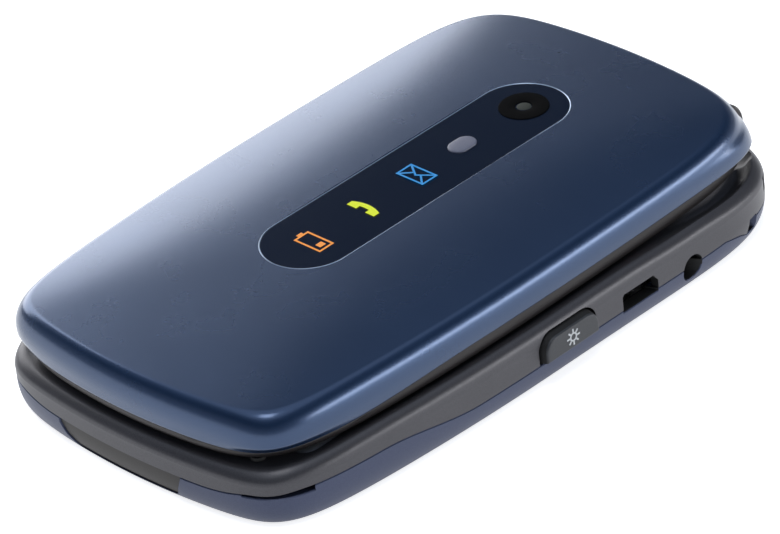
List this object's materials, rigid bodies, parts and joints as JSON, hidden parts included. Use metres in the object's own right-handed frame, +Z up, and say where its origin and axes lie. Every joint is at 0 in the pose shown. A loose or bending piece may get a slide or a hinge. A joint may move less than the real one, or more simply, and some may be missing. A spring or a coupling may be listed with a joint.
{
  "type": "clamshell mobile phone",
  "caption": "Closed flip phone with a rounded blue lid, an indicator window with a camera, a keypad base, side keys, a charging socket and a headphone socket.",
  "frame": {"origin": "middle of the rear cover's resting face", "axes": "+Y towards the hinge end, +Z up through the closed lid, +X towards the side with the sockets"},
  "size_m": [0.065, 0.1072, 0.0186],
  "materials": {
    "lid_paint": "metallic blue lacquer, satin",
    "window_black": "gloss, smoked",
    "bezel_black": "gloss",
    "lens_glass": "coated",
    "lamp_clear": "frosted",
    "lamp_yellow": "clear resin",
    "frame_brown": "satin, warm grey",
    "display_black": "gloss",
    "panel_grey": "plain",
    "board_green": "solder mask",
    "steel": "plain",
    "gold_plate": "plated",
    "rubber_black": "matte",
    "housing_grey": "satin, metallic grey",
    "cover_blue": "satin, blue",
    "chassis_grey": "matte",
    "part_black": "matte",
    "battery_grey": "wrapped",
    "key_grey": "satin",
    "key_green": "satin",
    "key_red": "satin",
    "nav_silver": "satin metallic",
    "button_grey": "matte",
    "film_clear": "translucent film"
  },
  "bodies": {
    "base": {"front_housing": "housing_grey", "rear_housing": "chassis_grey", "rear_cover": "cover_blue", "battery": "battery_grey", "battery_contacts": "gold_plate", "main_board": "board_green", "shield_can": "steel", "sim_holder": "steel", "loudspeaker": "part_black", "vibration_motor": "steel", "vibration_weight": "steel", "microphone": "gold_plate", "dome_sheet": "film_clear", "hinge_can": "steel", "hinge_spring": "steel", "hinge_follower": "steel", "usb_shell": "steel", "usb_tongue": "part_black", "audio_jack": "part_black", "base_screws": "steel"},
    "lid": {"lid_cover": "lid_paint", "indicator_window": "window_black", "camera_bezel": "bezel_black", "camera_lens": "lens_glass", "camera_module": "part_black", "lamp_lens": "lamp_clear", "indicator_lamps": "lamp_yellow", "lid_frame": "frame_brown", "display_glass": "display_black", "display_panel": "panel_grey", "lid_board": "board_green", "earpiece": "part_black", "lid_bumpers": "rubber_black", "hinge_shaft": "steel", "hinge_bush": "steel"},
    "key_1": {"key_1": "key_grey"},
    "key_2": {"key_2": "key_grey"},
    "key_3": {"key_3": "key_grey"},
    "key_4": {"key_4": "key_grey"},
    "key_5": {"key_5": "key_grey"},
    "key_6": {"key_6": "key_grey"},
    "key_7": {"key_7": "key_grey"},
    "key_8": {"key_8": "key_grey"},
    "key_9": {"key_9": "key_grey"},
    "key_star": {"key_star": "key_grey"},
    "key_0": {"key_0": "key_grey"},
    "key_hash": {"key_hash": "key_grey"},
    "soft_key_left": {"soft_key_left": "key_grey"},
    "soft_key_right": {"soft_key_right": "key_grey"},
    "call_key": {"call_key": "key_green"},
    "end_key": {"end_key": "key_red"},
    "nav_ring": {"nav_ring": "nav_silver"},
    "ok_key": {"ok_key": "key_grey"},
    "side_button": {"side_button": "button_grey"},
    "volume_rocker": {"volume_rocker": "button_grey"},
    "sos_button": {"sos_button": "key_grey"}
  },
  "joints": [
    {"name": "lid_hinge", "type": "hinge", "parent": "base", "child": "lid", "pos_m": [0, 0.0458, 0.0126], "axis": [-1, 0, 0], "range_deg": [0, 155]},
    {"name": "key_1_press", "type": "slide", "parent": "base", "child": "key_1", "axis": [0, 0, -1], "range_m": [0, 0.00035], "stiffness_N_per_m": 300, "springref_m": -0.0003},
    {"name": "key_2_press", "type": "slide", "parent": "base", "child": "key_2", "axis": [0, 0, -1], "range_m": [0, 0.00035], "stiffness_N_per_m": 300, "springref_m": -0.0003},
    {"name": "key_3_press", "type": "slide", "parent": "base", "child": "key_3", "axis": [0, 0, -1], "range_m": [0, 0.00035], "stiffness_N_per_m": 300, "springref_m": -0.0003},
    {"name": "key_4_press", "type": "slide", "parent": "base", "child": "key_4", "axis": [0, 0, -1], "range_m": [0, 0.00035], "stiffness_N_per_m": 300, "springref_m": -0.0003},
    {"name": "key_5_press", "type": "slide", "parent": "base", "child": "key_5", "axis": [0, 0, -1], "range_m": [0, 0.00035], "stiffness_N_per_m": 300, "springref_m": -0.0003},
    {"name": "key_6_press", "type": "slide", "parent": "base", "child": "key_6", "axis": [0, 0, -1], "range_m": [0, 0.00035], "stiffness_N_per_m": 300, "springref_m": -0.0003},
    {"name": "key_7_press", "type": "slide", "parent": "base", "child": "key_7", "axis": [0, 0, -1], "range_m": [0, 0.00035], "stiffness_N_per_m": 300, "springref_m": -0.0003},
    {"name": "key_8_press", "type": "slide", "parent": "base", "child": "key_8", "axis": [0, 0, -1], "range_m": [0, 0.00035], "stiffness_N_per_m": 300, "springref_m": -0.0003},
    {"name": "key_9_press", "type": "slide", "parent": "base", "child": "key_9", "axis": [0, 0, -1], "range_m": [0, 0.00035], "stiffness_N_per_m": 300, "springref_m": -0.0003},
    {"name": "key_star_press", "type": "slide", "parent": "base", "child": "key_star", "axis": [0, 0, -1], "range_m": [0, 0.00035], "stiffness_N_per_m": 300, "springref_m": -0.0003},
    {"name": "key_0_press", "type": "slide", "parent": "base", "child": "key_0", "axis": [0, 0, -1], "range_m": [0, 0.00035], "stiffness_N_per_m": 300, "springref_m": -0.0003},
    {"name": "key_hash_press", "type": "slide", "parent": "base", "child": "key_hash", "axis": [0, 0, -1], "range_m": [0, 0.00035], "stiffness_N_per_m": 300, "springref_m": -0.0003},
    {"name": "soft_key_left_press", "type": "slide", "parent": "base", "child": "soft_key_left", "axis": [0, 0, -1], "range_m": [0, 0.00035], "stiffness_N_per_m": 300, "springref_m": -0.0003},
    {"name": "soft_key_right_press", "type": "slide", "parent": "base", "child": "soft_key_right", "axis": [0, 0, -1], "range_m": [0, 0.00035], "stiffness_N_per_m": 300, "springref_m": -0.0003},
    {"name": "call_key_press", "type": "slide", "parent": "base", "child": "call_key", "axis": [0, 0, -1], "range_m": [0, 0.00035], "stiffness_N_per_m": 300, "springref_m": -0.0003},
    {"name": "end_key_press", "type": "slide", "parent": "base", "child": "end_key", "axis": [0, 0, -1], "range_m": [0, 0.00035], "stiffness_N_per_m": 300, "springref_m": -0.0003},
    {"name": "nav_ring_press", "type": "slide", "parent": "base", "child": "nav_ring", "axis": [0, 0, -1], "range_m": [0, 0.00035], "stiffness_N_per_m": 300, "springref_m": -0.0003},
    {"name": "ok_key_press", "type": "slide", "parent": "base", "child": "ok_key", "axis": [0, 0, -1], "range_m": [0, 0.00035], "stiffness_N_per_m": 300, "springref_m": -0.0003},
    {"name": "side_button_press", "type": "slide", "parent": "base", "child": "side_button", "axis": [-1, 0, 0], "range_m": [0, 0.0004], "stiffness_N_per_m": 300, "springref_m": -0.0003},
    {"name": "volume_rocker_tilt", "type": "hinge", "parent": "base", "child": "volume_rocker", "pos_m": [-0.0296, 0.006, 0.0059], "axis": [0, 0, 1], "range_deg": [-1.5, 1.5], "stiffness_Nm_per_rad": 0.05},
    {"name": "sos_button_press", "type": "slide", "parent": "base", "child": "sos_button", "axis": [0, 0, 1], "range_m": [0, 0.00035], "stiffness_N_per_m": 300, "springref_m": -0.0003}
  ]
}
